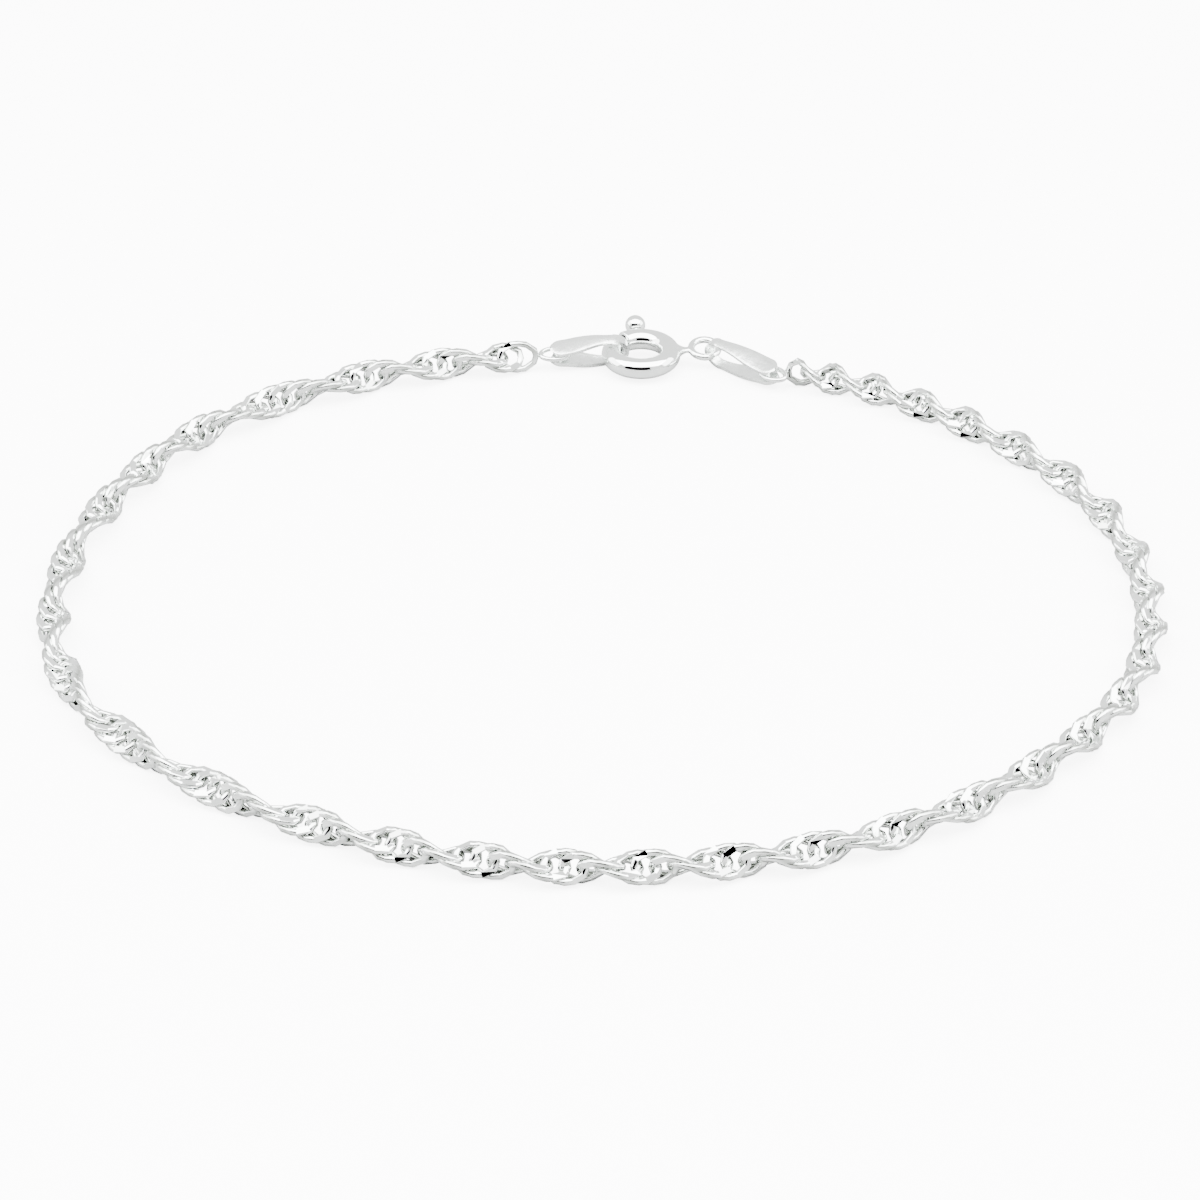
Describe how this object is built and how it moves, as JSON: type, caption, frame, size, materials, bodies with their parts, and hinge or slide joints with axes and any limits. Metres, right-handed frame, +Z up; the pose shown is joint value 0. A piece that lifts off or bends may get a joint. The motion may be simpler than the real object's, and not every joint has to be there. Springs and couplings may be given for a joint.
{
  "type": "singapore chain bracelet",
  "caption": "Closed bracelet of twisted curb chain, with two folded end tags and a spring ring clasp whose gate slides back.",
  "frame": {"origin": "on the surface that the bracelet lies on, under the middle of its bounding box", "axes": "+Z up from the surface; +Y towards the clasp; +X along the clasp, from its gap towards its eyelet"},
  "size_m": [0.063, 0.0642, 0.0021],
  "materials": {
    "chain_silver": "polished silver with diamond-cut flats",
    "tag_silver": "tumbled silver",
    "clasp_silver": "polished silver"
  },
  "bodies": {
    "bracelet": {"singapore_chain": "chain_silver", "end_tag_left": "tag_silver", "end_tag_right": "tag_silver", "clasp_body": "clasp_silver"},
    "gate": {"clasp_gate": "clasp_silver"}
  },
  "joints": [
    {"name": "gate_slide", "type": "hinge", "parent": "bracelet", "child": "gate", "pos_m": [0.00233, 0.02807, 0.00097], "axis": [0, 0.0698, -0.9976], "range_deg": [0, 42], "stiffness_Nm_per_rad": 0.004, "springref_deg": -22.92}
  ]
}
